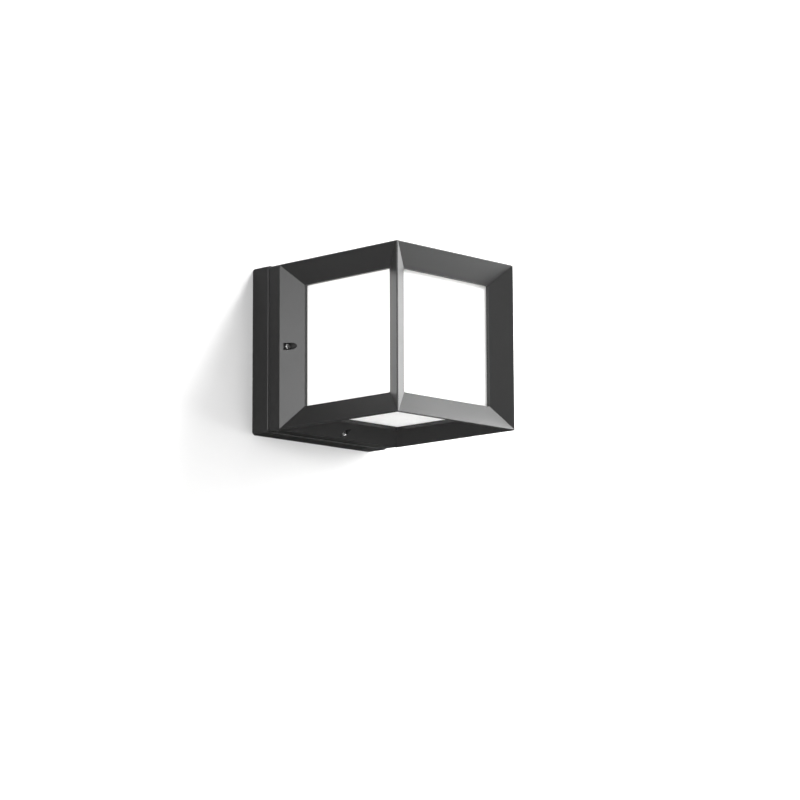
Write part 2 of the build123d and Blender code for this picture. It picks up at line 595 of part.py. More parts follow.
def earth_lug():
    """Crimped ring lug: a flat eye and a barrel that points up at the wire."""
    x, z = EARTH_AT
    eye = tube(4.2, 2.1, EARTH_OUT, EARTH_OUT + 0.8, at=EARTH_AT)
    neck = slab(3.0, 3.5, EARTH_OUT, EARTH_OUT + 0.8, at=(x, z + 5.2))
    barrel = Pos(x, -(EARTH_OUT + 0.4), z + 9.4) * Cylinder(1.9, 5.4)
    core = Pos(x, -(EARTH_OUT + 0.4), z + 10.1) * Cylinder(WIRE_RADIUS + RUNNING, 4.0)
    return eye + neck + barrel - core


def lead(points, bends):
    """Insulated wire: straight runs joined by tangent arcs, through (x, out, z) points."""
    route = FilletPolyline(*[(x, -out, z) for x, out, z in points], radius=bends)
    start = Plane(origin=route @ 0, z_dir=route % 0)
    return sweep(start * Circle(WIRE_RADIUS), path=route)


def wire_live():
    """Terminal block to the holder's centre contact, through the bush in the dish."""
    x = POLES["live"]
    return lead([(x, PORT_OUT, WIRE_START_Z), (x, PORT_OUT, 34.0), (x - 1, RUN_OUT, 22.0),
                 (1.8, RUN_OUT, 2.0), (0, RIVET_TAIL_OUT - 0.6, CENTRE_RIVET_Z)], [8.0, 12.0, 3.5])


def wire_neutral():
    """Terminal block to the holder's screw shell, through the bush in the dish."""
    x = POLES["neutral"]
    tail = (0, RIVET_TAIL_OUT - 1.0, SHELL_RIVET_Z + 0.4)
    return lead([(x, PORT_OUT, WIRE_START_Z), (x, PORT_OUT, 34.0), (x - 4, RUN_OUT, 22.0),
                 (-1.8, RUN_OUT, -1.5), (-1.5, 14.5, -3.0), tail], [8.0, 12.0, 3.5, 4.0])


def wire_earth():
    """Terminal block to the earth lug, behind the edge of the dish."""
    x = POLES["earth"]
    lug_x, lug_z = EARTH_AT
    barrel_out = EARTH_OUT + 0.4
    into_lug = [(lug_x, barrel_out, lug_z + 18.0), (lug_x, barrel_out, lug_z + 8.5)]
    return lead([(x, PORT_OUT, WIRE_START_Z), (x, PORT_OUT, 34.0), (-33.0, RUN_OUT, 14.0),
                 (-35.0, RUN_OUT, -10.0), *into_lug], [8.0, 12.0, 12.0, 8.0])


# ---- all pieces ---------------------------------------------------------------------------------------
def main():
    os.makedirs("parts", exist_ok=True)
    pieces = {
        "lantern_frame": lantern_frame(),
        "diffuser": diffuser(),
        "diffuser_seal": diffuser_seal(),
        "diffuser_retainer": diffuser_retainer(),
        "retainer_screws": retainer_screws(),
        "captive_screw_seals": captive_seals(),
        "wall_base": wall_base(),
        "wall_gasket": wall_gasket(),
        "cable_grommet": cable_grommet(),
        "fixing_hole_seals": fixing_hole_seals(),
        "head_seal": head_seal(),
        "gear_tray": gear_tray(),
        "tray_grommet": tray_grommet(),
        "tray_screws": tray_screws(),
        "lamp_holder_body": lamp_holder_body(),
        "lamp_holder_shell": lamp_holder_shell(),
        "lamp_holder_contact": lamp_holder_contact(),
        "lamp_holder_screws": lamp_holder_screws(),
        "lamp_cap": lamp_cap(),
        "lamp_insulator": lamp_insulator(),
        "lamp_contact": lamp_contact(),
        "lamp_housing": lamp_housing(),
        "lamp_dome": lamp_dome(),
        "lamp_led_board": lamp_led_board(),
        "lamp_leds": lamp_leds(),
        "lamp_driver": lamp_driver(),
        "terminal_block": terminal_block(),
        "terminal_clamps": terminal_clamps(),
        "terminal_screws": terminal_screws(),
        "terminal_fixings": terminal_fixings(),
        "earth_screw": earth_screw(),
        "earth_washer": earth_washer(),
        "earth_lug": earth_lug(),
        "wire_live": wire_live(),
        "wire_neutral": wire_neutral(),
        "wire_earth": wire_earth(),
    }
    for side, angle in SCREW_ANGLES.items():
        pieces[f"captive_screw_{side}"] = turned_about_y(captive_screw(), angle)
        pieces[f"captive_ring_{side}"] = turned_about_y(captive_ring(), angle)
    for name, shape in pieces.items():
        write(name, shape)


main()
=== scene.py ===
import math

import bmesh
import bpy
from bpy.props import FloatProperty, FloatVectorProperty, PointerProperty
from mathutils import Matrix, Vector


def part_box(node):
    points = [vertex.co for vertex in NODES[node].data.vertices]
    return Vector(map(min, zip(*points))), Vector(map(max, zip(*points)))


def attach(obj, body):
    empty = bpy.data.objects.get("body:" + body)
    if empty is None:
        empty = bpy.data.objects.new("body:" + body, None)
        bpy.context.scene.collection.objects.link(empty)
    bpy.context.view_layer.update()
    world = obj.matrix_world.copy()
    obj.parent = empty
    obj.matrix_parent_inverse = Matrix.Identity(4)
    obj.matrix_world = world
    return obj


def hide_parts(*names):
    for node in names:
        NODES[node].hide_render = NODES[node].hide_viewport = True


bl_info = {
    "name": "Outdoor wall lantern",
    "version": (1, 0, 0),
    "blender": (4, 5, 0),
    "location": "3D View > Sidebar > Lantern",
    "description": "Finishes, lamp, fasteners and studio for a cube-shaped outdoor wall lantern",
    "category": "Object",
}

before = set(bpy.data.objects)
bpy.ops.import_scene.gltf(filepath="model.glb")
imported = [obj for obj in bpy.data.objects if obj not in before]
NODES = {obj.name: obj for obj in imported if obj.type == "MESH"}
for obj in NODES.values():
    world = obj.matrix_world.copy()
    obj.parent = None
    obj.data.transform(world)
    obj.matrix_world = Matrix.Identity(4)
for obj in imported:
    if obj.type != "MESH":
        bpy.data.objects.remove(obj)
MM = 0.001
MIX_LOW, MIX_HIGH, MIX_COLOUR = 6, 7, 2    # a Mix node's colour sockets: its two inputs and its output

# Cover screw, in millimetres
SCREW_HEAD = 3.0
SCREW_SHANK = 1.5          # radius
SCREW_PITCH = 0.5
SCREW_THREAD_DEPTH = 0.26
SCREW_THREAD_END = 11.0    # from the tip
KNURL_DEPTH = 0.12
KNURL_TEETH = 30
SOCKET = 1.42              # radius at its corners
SOCKET_DEPTH = 1.7

# E27 lamp holder and cap, in millimetres
LAMP_PITCH = 3.6
SHELL_FLOOR = 31.0         # distance from the wall
SHELL_RADIUS = 14.0        # over the thread
SHELL_THREAD_DEPTH = 0.6
SHELL_LIP = 14.7
SHELL_WALL = 0.04          # thickness in the thread
SHELL_FOOT_HOLE = 9.5
SHELL_FOOT = 0.7           # thickness
CAP_RADIUS = 13.1
CAP_THREAD_DEPTH = 0.85

# Stage, in metres
FLOOR_DROP = 0.9
STAGE_REACH = 4.0
WALL_TOP = 3.0
WALL_GAP = 0.4 * MM
THROUGH_WALL = 1.5 * MM    # the stage wall lets light reach what is nearer to it than this
MIRROR_MIX = (1.0, 0.0, 2.0)    # how much of x, y and z goes into the height at which the painted reflection tone is read
# Painted reflection on the stage: painted shade below this height, a pale painted tone above the next one
MIRROR_DARK_BELOW = 0.10
MIRROR_PALE_ABOVE = 0.50


# ---- colour and node helpers ---------------------------------------------------------------------------
def linear(hex_code):
    """Linear colour of an sRGB hex value such as 2b2c2e."""
    values = []
    for i in (0, 2, 4):
        part = int(hex_code[i:i + 2], 16) / 255
        values.append(part / 12.92 if part <= 0.04045 else ((part + 0.055) / 1.055) ** 2.4)
    return (*values, 1.0)


def add(tree, kind, settings=None, values=None, links=None):
    """Adds a node: settings are its attributes, values its socket values and links its incoming sockets."""
    node = tree.nodes.new(kind)
    for name, value in (settings or {}).items():
        setattr(node, name, value)
    for name, value in (values or {}).items():
        node.inputs[name].default_value = value
    for name, source in (links or {}).items():
        tree.links.new(source, node.inputs[name])
    return node


def per_metre(millimetres):
    """Texture scale whose features are about this large."""
    return 1.0 / (millimetres * MM)


def start_material(name):
    """An empty material with its node tree."""
    made = bpy.data.materials.new(name)
    made.use_nodes = True
    made.node_tree.nodes.clear()
    return made, made.node_tree


def scaled(colour, factor):
    """A linear colour made darker or lighter."""
    return (*(min(1.0, part * factor) for part in colour[:3]), 1.0)


def blend_colours(tree, factor, low, high):
    """Colour that goes from low to high with the factor; either may be a colour or another node's output."""
    mix = add(tree, "ShaderNodeMix", {"data_type": "RGBA"}, links={"Factor": factor})
    for socket, colour in ((mix.inputs[MIX_LOW], low), (mix.inputs[MIX_HIGH], high)):
        if isinstance(colour, bpy.types.NodeSocket):
            tree.links.new(colour, socket)
        else:
            socket.default_value = colour
    return mix.outputs[MIX_COLOUR]


def varied(tree, noise, value, share):
    """A value that a noise moves up and down by this share."""
    spread = add(tree, "ShaderNodeMapRange", values={"From Min": 0.3, "From Max": 0.7,
                 "To Min": value * (1 - share), "To Max": min(1.0, value * (1 + share))},
                 links={"Value": noise})
    return spread.outputs["Result"]


def surface(name, colour, roughness, metallic=0.0, ior=None, grain_mm=1.0, relief=0.1, cloud_mm=25.0,
            tint=0.06, coat=0.0, stretch=(1.0, 1.0, 1.0), uniform=None):
    """One physical surface: its colour clouds a little over cloud_mm, its grain shows as relief and gloss."""
    made, tree = start_material(name)
    place = add(tree, "ShaderNodeTexCoord")
    spread = add(tree, "ShaderNodeMapping", values={"Scale": stretch},
                 links={"Vector": place.outputs["Object"]})
    clouds = add(tree, "ShaderNodeTexNoise", values={"Scale": per_metre(cloud_mm), "Detail": 3.0},
                 links={"Vector": spread.outputs["Vector"]})
    grain = add(tree, "ShaderNodeTexNoise", values={"Scale": per_metre(grain_mm), "Detail": 2.0},
                links={"Vector": spread.outputs["Vector"]})
    base = linear(colour) if isinstance(colour, str) else (*colour[:3], 1.0)
    shade = blend_colours(tree, clouds.outputs["Fac"], scaled(base, 1 - tint), scaled(base, 1 + tint))
    gloss = varied(tree, grain.outputs["Fac"], roughness, 0.08)
    height = add(tree, "ShaderNodeBump", values={"Strength": relief, "Distance": grain_mm * MM * 0.3},
                 links={"Height": grain.outputs["Fac"]})
    shader = add(tree, "ShaderNodeBsdfPrincipled", values={"Metallic": metallic, "Coat Weight": coat},
                 links={"Base Color": shade, "Roughness": gloss, "Normal": height.outputs["Normal"]})
    if ior is not None:
        shader.inputs["IOR"].default_value = ior
    for socket, value in (uniform or {}).items():
        shader.inputs[socket].default_value = value
    add(tree, "ShaderNodeOutputMaterial", links={"Surface": shader.outputs["BSDF"]})
    return made


def finish_nodes(made, *names):
    """Gives CAD nodes this material."""
    for name in names:
        node = NODES[name]
        if not node.material_slots:
            raise RuntimeError(f"{name} has no material slot")
        for slot in node.material_slots:
            slot.material = made


def settings():
    return bpy.context.scene.lantern


# ---- mesh helpers --------------------------------------------------------------------------------------
def plain(radius):
    """Round section."""
    return lambda angle: radius


def hexagon(radius):
    """Six-sided section whose corners are at this radius."""
    step = math.pi / 3
    return lambda angle: radius * math.cos(step / 2) / math.cos(angle % step - step / 2)


def helix(radius, depth, turn):
    """Section through a rounded thread that is this deep; turn is how far the thread has wound, in turns."""
    return lambda angle: radius - depth * (0.5 - 0.5 * math.cos(angle - 2 * math.pi * turn))


def knurl(radius, depth, teeth):
    """Round section with fine straight knurling."""
    return lambda angle: radius - depth * (0.5 - 0.5 * math.cos(teeth * angle))


def turned_piece(name, made, rings, at=(0.0, 0.0), segments=48, closed=True):
    """Piece on an axis square to the wall. Each ring is (distance from the wall, section), in millimetres."""
    mesh = bpy.data.meshes.new(name)
    work = bmesh.new()
    rows = []
    for out, section in rings:
        row = []
        for i in range(segments):
            angle = 2 * math.pi * i / segments
            radius = section(angle)
            row.append(work.verts.new(((at[0] + radius * math.cos(angle)) * MM, -out * MM,
                                       (at[1] + radius * math.sin(angle)) * MM)))
        rows.append(row)
    for low, high in zip(rows, rows[1:]):
        for i in range(segments):
            j = (i + 1) % segments
            work.faces.new((low[i], low[j], high[j], high[i]))
    if closed:
        work.faces.new(rows[0])
        work.faces.new(rows[-1])
    else:
        for i in range(segments):
            j = (i + 1) % segments
            work.faces.new((rows[-1][i], rows[-1][j], rows[0][j], rows[0][i]))
    bmesh.ops.recalc_face_normals(work, faces=work.faces)
    work.to_mesh(mesh)
    work.free()
    mesh.shade_smooth()
    mesh.set_sharp_from_angle(angle=math.radians(40))
    mesh.materials.append(made)
    piece = bpy.data.objects.new(name, mesh)
    bpy.context.scene.collection.objects.link(piece)
    return piece


def threaded(start, end, radius, depth, pitch, rings_per_turn, fade):
    """Rings of a thread between two distances from the wall; its first and last turns run out over fade."""
    rings = []
    count = round((end - start) / pitch * rings_per_turn)
    for i in range(count + 1):
        out = start + (end - start) * i / count
        share = min(1.0, (out - start) / fade, (end - out) / fade)
        rings.append((out, helix(radius, depth * share, out / pitch)))
    return rings


# ---- sizes and colours a user would change ---------------------------------------------------------------
class LanternCoating(bpy.types.PropertyGroup):
    """Finish of the two castings."""

    colour: FloatVectorProperty(name="Powder coat", description="Colour of base and head", subtype="COLOR",
                                size=3, min=0.0, max=1.0, default=linear("2c2c2c")[:3])
    roughness: FloatProperty(name="Roughness", description="Satin is about 0.35, matt about 0.6",
                             subtype="FACTOR", min=0.05, max=1.0, default=0.36)
    edge_radius: FloatProperty(name="Edge softness", description="How far the coating rounds a cast edge",
                               subtype="DISTANCE", unit="LENGTH", min=0.0, max=0.002, default=0.0005)


class LanternGlazing(bpy.types.PropertyGroup):
    """Look of the opal box."""

    colour: FloatVectorProperty(name="Opal", description="Colour of the diffuser", subtype="COLOR",
                                size=3, min=0.0, max=1.0, default=linear("fafaf8")[:3])
    # The glow is painted light: an even emission that stands in for studio light coming in through the other
    # panels, not a lamp.
    painted_glow: FloatProperty(name="Glow", description="Light that the diffuser gives off", min=0.0, max=20.0,
                        default=0.08)


class LanternStudio(bpy.types.PropertyGroup):
    """Camera and lights."""

    azimuth: FloatProperty(name="Azimuth", description="Camera's angle round the lantern, in degrees",
                           min=-180.0, max=180.0, default=-44.430)
    elevation: FloatProperty(name="Elevation", description="Camera's angle above the lantern, in degrees",
                             min=-89.0, max=89.0, default=-10.142)
    distance: FloatProperty(name="Distance", description="Wall face centre to camera", unit="LENGTH",
                            min=0.3, max=20.0, default=2.650)
    aim_side: FloatProperty(name="Aim sideways", description="Turn of the view off the origin, in degrees",
                            min=-45.0, max=45.0, default=-1.7433)
    aim_up: FloatProperty(name="Aim upwards", description="Tilt of the view off the origin, in degrees",
                          min=-45.0, max=45.0, default=0.7547)
    roll: FloatProperty(name="Roll", description="Camera's roll, in degrees", min=-45.0, max=45.0,
                        default=-0.225)
    lens: FloatProperty(name="Lens", description="Focal length in millimetres on a 36 mm sensor",
                        subtype="DISTANCE_CAMERA", min=10.0, max=400.0, default=130.4)
    key_power: FloatProperty(name="Key light", description="Softbox above and to the right", unit="POWER",
                             min=0.0, max=500.0, default=32.0)
    right_power: FloatProperty(name="Right light", description="Tall softbox to the right", unit="POWER",
                               min=0.0, max=500.0, default=27.0)
    left_power: FloatProperty(name="Left light", description="Softbox to the left", unit="POWER",
                              min=0.0, max=500.0, default=13.7)
    high_power: FloatProperty(name="Edge light", description="Small softbox that draws the front edges",
                              unit="POWER", min=0.0, max=500.0, default=4.0)
    back_power: FloatProperty(name="Back light", description="Softbox behind the wall", unit="POWER",
                              min=0.0, max=500.0, default=30.0)
    low_power: FloatProperty(name="Low light", description="Softbox below and to the right", unit="POWER",
                             min=0.0, max=500.0, default=1.5)
    sky: FloatProperty(name="Room light", description="Even light from the room", min=0.0, max=10.0,
                       default=0.42)


class LanternSettings(bpy.types.PropertyGroup):
    """All settings of the lantern."""

    coating: PointerProperty(type=LanternCoating)
    glazing: PointerProperty(type=LanternGlazing)
    studio: PointerProperty(type=LanternStudio)


# ---- pieces ----------------------------------------------------------------------------------------------
class LANTERN_OT_castings(bpy.types.Operator):
    """Coats the base and the head's cage"""

    bl_idname = "lantern.castings"
    bl_label = "Powder-coated castings"

    def execute(self, context):
        choice = settings().coating
        # Polyester powder on die-cast aluminium: a dark satin skin that rounds each cast edge, with the soft
        # ripple that the powder flows out to. The ripple is drawn at 1.6 mm, coarser than the real 0.5 mm,
        # so that it shows.
        made, tree = start_material("polyester_powder_coat_satin_anthracite")
        place = add(tree, "ShaderNodeTexCoord")
        ripple = add(tree, "ShaderNodeTexNoise", values={"Scale": per_metre(1.6), "Detail": 3.0,
                     "Roughness": 0.6}, links={"Vector": place.outputs["Object"]})
        clouds = add(tree, "ShaderNodeTexNoise", values={"Scale": per_metre(60.0), "Detail": 4.0},
                     links={"Vector": place.outputs["Object"]})
        shade = blend_colours(tree, clouds.outputs["Fac"], scaled(choice.colour, 0.95),
                              scaled(choice.colour, 1.05))
        gloss = varied(tree, clouds.outputs["Fac"], choice.roughness, 0.04)
        soft_edge = add(tree, "ShaderNodeBevel", {"samples": 4}, values={"Radius": choice.edge_radius})
        skin = add(tree, "ShaderNodeBump", values={"Strength": 0.2, "Distance": 0.2 * MM},
                   links={"Height": ripple.outputs["Fac"], "Normal": soft_edge.outputs["Normal"]})
        shader = add(tree, "ShaderNodeBsdfPrincipled", values={"IOR": 1.5},
                     links={"Base Color": shade, "Roughness": gloss, "Normal": skin.outputs["Normal"]})
        add(tree, "ShaderNodeOutputMaterial", links={"Surface": shader.outputs["BSDF"]})
        finish_nodes(made, "lantern_frame", "wall_base")
        return {"FINISHED"}


class LANTERN_OT_diffuser(bpy.types.Operator):
    """Finishes the opal box"""

    bl_idname = "lantern.diffuser"
    bl_label = "Opal diffuser"

    def execute(self, context):
        choice = settings().glazing
        # Opal acrylic, moulded: milky and even, with a fine matt outer face that scatters every highlight,
        # and a painted glow: an even emission of its own that stands in for studio light falling in through
        # the other panels.
        made = surface("opal_acrylic_moulded_matt", tuple(choice.colour), 0.45, ior=1.49, grain_mm=1.2,
                       relief=0.03, cloud_mm=80.0, tint=0.008,
                       uniform={"Subsurface Weight": 0.35, "Subsurface Scale": 0.004,
                                "Subsurface Radius": (1.0, 1.0, 1.0),
                                "Emission Color": (1.0, 0.995, 0.985, 1.0),
                                "Emission Strength": choice.painted_glow})
        finish_nodes(made, "diffuser")
        return {"FINISHED"}


class LANTERN_OT_seals(bpy.types.Operator):
    """Finishes seals, gaskets and bushes"""

    bl_idname = "lantern.seals"
    bl_label = "Seals and bushes"

    def execute(self, context):
        # Cured silicone: milky grey, slightly waxy.
        silicone = surface("silicone_rubber_grey_moulded", "b4b4b0", 0.5, ior=1.41, grain_mm=1.0, relief=0.1,
                           uniform={"Subsurface Weight": 0.2, "Subsurface Scale": 0.002})
        finish_nodes(silicone, "head_seal", "diffuser_seal")
        # EPDM rubber: matt black with the bloom that dulls it.
        rubber = surface("epdm_rubber_black_matt", "1b1b1c", 0.82, grain_mm=0.8, relief=0.2, tint=0.2)
        finish_nodes(rubber, "wall_gasket", "cable_grommet", "fixing_hole_seals", "captive_screw_seals",
                     "tray_grommet")
        return {"FINISHED"}


class LANTERN_OT_steelwork(bpy.types.Operator):
    """Finishes the tray, the retainer and the plain screws"""

    bl_idname = "lantern.steelwork"
    bl_label = "Tray, retainer and screws"

    def execute(self, context):
        # Stove enamel on pressed steel: bright white and glossy, to throw the lamp's light forwards.
        enamel = surface("stove_enamel_white_gloss", "c6c6c2", 0.22, grain_mm=2.0, relief=0.04, tint=0.01,
                         coat=0.3)
        finish_nodes(enamel, "gear_tray")
        # Zinc plate on steel: pale, slightly blue, with a clouded sheen.
        zinc = surface("zinc_plated_steel_bright", "c4c7ca", 0.3, metallic=1.0, grain_mm=3.0, relief=0.08,
                       cloud_mm=8.0, tint=0.12)
        finish_nodes(zinc, "diffuser_retainer", "retainer_screws", "tray_screws", "lamp_holder_screws",
                     "terminal_screws", "terminal_fixings", "earth_washer", "earth_lug")
        # Brass, machined: warm yellow with fine turning marks.
        brass = surface("brass_machined", "d9b36a", 0.24, metallic=1.0, grain_mm=0.8, relief=0.08,
                        stretch=(0.2, 3.0, 0.2))
        finish_nodes(brass, "earth_screw", "terminal_clamps", "lamp_holder_contact")
        return {"FINISHED"}


class LANTERN_OT_cover_screws(bpy.types.Operator):
    """Makes the three captive screws with knurled socket heads and rolled threads"""

    bl_idname = "lantern.cover_screws"
    bl_label = "Captive cover screws"

    def execute(self, context):
        # Stainless steel, cold headed: bright and slightly warm, with a fine brushed roughness.
        steel = surface("stainless_steel_cold_headed", "c6c6c6", 0.30, metallic=1.0, grain_mm=0.6,
                        relief=0.1, stretch=(1.0, 4.0, 1.0), tint=0.08)
        for side in ("left", "right", "bottom"):
            node = f"captive_screw_{side}"
            low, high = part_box(node)
            centre = ((low[0] + high[0]) / 2 / MM, (low[2] + high[2]) / 2 / MM)
            tip, top = -high[1] / MM, -low[1] / MM
            head = (high[0] - low[0]) / 2 / MM
            shoulder = top - SCREW_HEAD
            grip = knurl(head, KNURL_DEPTH, KNURL_TEETH)
            rings = [(tip, plain(1.0)), (tip + 0.4, plain(1.3))]
            rings += threaded(tip + 0.5, tip + SCREW_THREAD_END, SCREW_SHANK, SCREW_THREAD_DEPTH, SCREW_PITCH,
                              8, 0.8)
            rings += [(tip + SCREW_THREAD_END + 0.1, plain(SCREW_SHANK)), (shoulder, plain(SCREW_SHANK)),
                      (shoulder + 0.01, plain(head - 0.1)), (shoulder + 0.12, grip), (top - 0.35, grip),
                      (top - 0.3, plain(head - 0.03)), (top - 0.06, plain(head - 0.2)),
                      (top, plain(head - 0.35)), (top, hexagon(SOCKET + 0.08)), (top - 0.12, hexagon(SOCKET)),
                      (top - SOCKET_DEPTH, hexagon(SOCKET)), (top - SOCKET_DEPTH - 0.4, plain(0.3))]
            piece = turned_piece(f"cover_screw_{side}", steel, rings, centre, 60)
            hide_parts(node)
            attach(piece, f"screw_{side}")
            finish_nodes(steel, f"captive_ring_{side}")
        return {"FINISHED"}


class LANTERN_OT_lamp_holder(bpy.types.Operator):
    """Makes the holder's rolled screw shell and glazes its porcelain"""

    bl_idname = "lantern.lamp_holder"
    bl_label = "Lamp holder"

    def execute(self, context):
        # Porcelain, glazed: warm white, hard and wet-looking.
        porcelain = surface("porcelain_glazed_white", "c9c6bd", 0.12, ior=1.52, grain_mm=6.0, relief=0.05,
                            tint=0.015, coat=0.4)
        finish_nodes(porcelain, "lamp_holder_body")
        # Nickel plate on rolled brass: warm grey and bright.
        nickel = surface("nickel_plated_brass_rolled", "c9c2b4", 0.2, metallic=1.0, grain_mm=1.5, relief=0.06)
        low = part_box("lamp_holder_shell")[0]
        floor, mouth = SHELL_FLOOR, -low[1] / MM
        thread = threaded(floor + 3.0, mouth - 1.5, SHELL_RADIUS, SHELL_THREAD_DEPTH, LAMP_PITCH, 10, 2.0)
        lining = threaded(floor + 3.0, mouth - 1.5, SHELL_RADIUS - SHELL_WALL, SHELL_THREAD_DEPTH, LAMP_PITCH,
                          10, 2.0)
        outside = [(floor, plain(13.9)), *thread, (mouth - 0.8, plain(SHELL_RADIUS)),
                   (mouth - 0.8, plain(SHELL_LIP)), (mouth, plain(SHELL_LIP)), (mouth, plain(13.7))]
        inside = [(mouth - 1.0, plain(13.42)), *reversed(lining), (floor + SHELL_FOOT, plain(13.5)),
                  (floor + SHELL_FOOT, plain(SHELL_FOOT_HOLE)), (floor, plain(SHELL_FOOT_HOLE))]
        shell = turned_piece("holder_screw_shell", nickel, outside + inside, segments=72, closed=False)
        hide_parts("lamp_holder_shell")
        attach(shell, "base")
        return {"FINISHED"}


class LANTERN_OT_lamp(bpy.types.Operator):
    """Makes the lamp's rolled cap and finishes its other parts"""

    bl_idname = "lantern.lamp"
    bl_label = "Lamp"

    def execute(self, context):
        # Nickel plate on the cap's rolled brass: a little paler and brighter than the holder's.
        nickel = surface("nickel_plated_cap_rolled", "cbc7bd", 0.18, metallic=1.0, grain_mm=1.5, relief=0.06)
        low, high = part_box("lamp_cap")
        foot, skirt = -high[1] / MM, -low[1] / MM
        rings = [(foot, plain(8.7)), (foot + 4.0, plain(12.3))]
        rings += threaded(foot + 4.6, skirt - 3.5, CAP_RADIUS, CAP_THREAD_DEPTH, LAMP_PITCH, 12, 2.0)
        rings += [(skirt - 3.2, plain(CAP_RADIUS - 0.05)), (skirt - 0.3, plain(CAP_RADIUS)),
                  (skirt, plain(12.95)), (skirt, plain(12.75)), (foot + 5.0, plain(11.6)), (foot, plain(8.6))]
        cap = turned_piece("lamp_screw_cap", nickel, rings, segments=96, closed=False)
        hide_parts("lamp_cap")
        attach(cap, "lamp")
        # Opal polycarbonate, blown: milky with a soft satin gloss.
        dome = surface("opal_polycarbonate_blown_satin", "d2d1cc", 0.35, ior=1.58, grain_mm=3.0, relief=0.02,
                       tint=0.01, uniform={"Subsurface Weight": 0.4, "Subsurface Scale": 0.004,
                                           "Subsurface Radius": (1.0, 1.0, 1.0)})
        finish_nodes(dome, "lamp_dome")
        # PBT plastic, moulded: plain white, satin, with fine spark-eroded texture.
        plastic = surface("pbt_plastic_white_moulded", "c4c3be", 0.38, ior=1.55, grain_mm=0.8, relief=0.12,
                          tint=0.015)
        finish_nodes(plastic, "lamp_housing")
        # Cap glass, fused: black and glassy.
        glass = surface("vitrite_glass_black_fused", "111114", 0.1, ior=1.6, grain_mm=3.0, relief=0.1)
        finish_nodes(glass, "lamp_insulator")
        # Lead-free solder, melted: dull silver with a rounded skin.
        solder = surface("lead_free_solder_melted", "c2c3c4", 0.33, metallic=1.0, grain_mm=1.2, relief=0.3)
        finish_nodes(solder, "lamp_contact")
        # Solder mask over aluminium: even white.
        board = surface("solder_mask_white_on_aluminium", "e8e9e6", 0.42, grain_mm=1.0, relief=0.05,
                        tint=0.02)
        finish_nodes(board, "lamp_led_board")
        # Phosphor-filled resin: saturated yellow.
        phosphor = surface("phosphor_resin_yellow", "e8b93a", 0.3, grain_mm=0.4, relief=0.1)
        finish_nodes(phosphor, "lamp_leds")
        # Glass-epoxy board: dark green with its weave just showing.
        epoxy = surface("glass_epoxy_board_green", "1f5a32", 0.35, grain_mm=0.5, relief=0.15, tint=0.15)
        finish_nodes(epoxy, "lamp_driver")
        return {"FINISHED"}


class LANTERN_OT_wiring(bpy.types.Operator):
    """Finishes the terminal block and the three wires"""

    bl_idname = "lantern.wiring"
    bl_label = "Terminals and wires"

    def execute(self, context):
        # Polyamide, moulded: natural off-white, faintly translucent.
        nylon = surface("polyamide_natural_moulded", "d9d5c6", 0.45, ior=1.53, grain_mm=0.8, relief=0.1,
                        uniform={"Subsurface Weight": 0.2, "Subsurface Scale": 0.002})
        finish_nodes(nylon, "terminal_block")
        # PVC insulation, extruded: smooth with a soft gloss.
        for node, name, colour in (("wire_live", "pvc_insulation_brown_extruded", "5b3420"),
                                   ("wire_neutral", "pvc_insulation_blue_extruded", "1d5fa8")):
            finish_nodes(surface(name, colour, 0.38, ior=1.53, grain_mm=1.0, relief=0.04), node)
        # The same for the earth core, with a yellow stripe along each side of the green.
        made, tree = start_material("pvc_insulation_green_yellow_extruded")
        place = add(tree, "ShaderNodeTexCoord")
        parts = add(tree, "ShaderNodeSeparateXYZ", links={"Vector": place.outputs["Normal"]})
        side = add(tree, "ShaderNodeMath", {"operation": "ABSOLUTE"})
        tree.links.new(parts.outputs["Y"], side.inputs[0])
        stripe = add(tree, "ShaderNodeMapRange", values={"From Min": 0.62, "From Max": 0.68},
                     links={"Value": side.outputs[0]})
        shade = blend_colours(tree, stripe.outputs["Result"], linear("2f7d32"), linear("e0c52c"))
        shader = add(tree, "ShaderNodeBsdfPrincipled", values={"Roughness": 0.38, "IOR": 1.53},
                     links={"Base Color": shade})
        add(tree, "ShaderNodeOutputMaterial", links={"Surface": shader.outputs["BSDF"]})
        finish_nodes(made, "wire_earth")
        return {"FINISHED"}


# ---- stage -----------------------------------------------------------------------------------------------
def sheet_mesh(name, corners, made):
    """A flat stage sheet."""
    mesh = bpy.data.meshes.new(name)
    mesh.from_pydata(corners, [], [tuple(range(len(corners)))])
    mesh.materials.append(made)
    piece = bpy.data.objects.new(name, mesh)
    bpy.context.scene.collection.objects.link(piece)


def softbox(name, place, target, width, height, power):
    """Rectangular studio light that isn't itself seen."""
    data = bpy.data.lights.new(name, "AREA")
    data.shape = "RECTANGLE"
    data.size, data.size_y, data.energy = width, height, power
    lamp = bpy.data.objects.new(name, data)
    bpy.context.scene.collection.objects.link(lamp)
    lamp.location = place
    lamp.rotation_mode = "QUATERNION"
    lamp.rotation_quaternion = (Vector(place) - Vector(target)).to_track_quat("Z", "Y")
    lamp.visible_camera = False


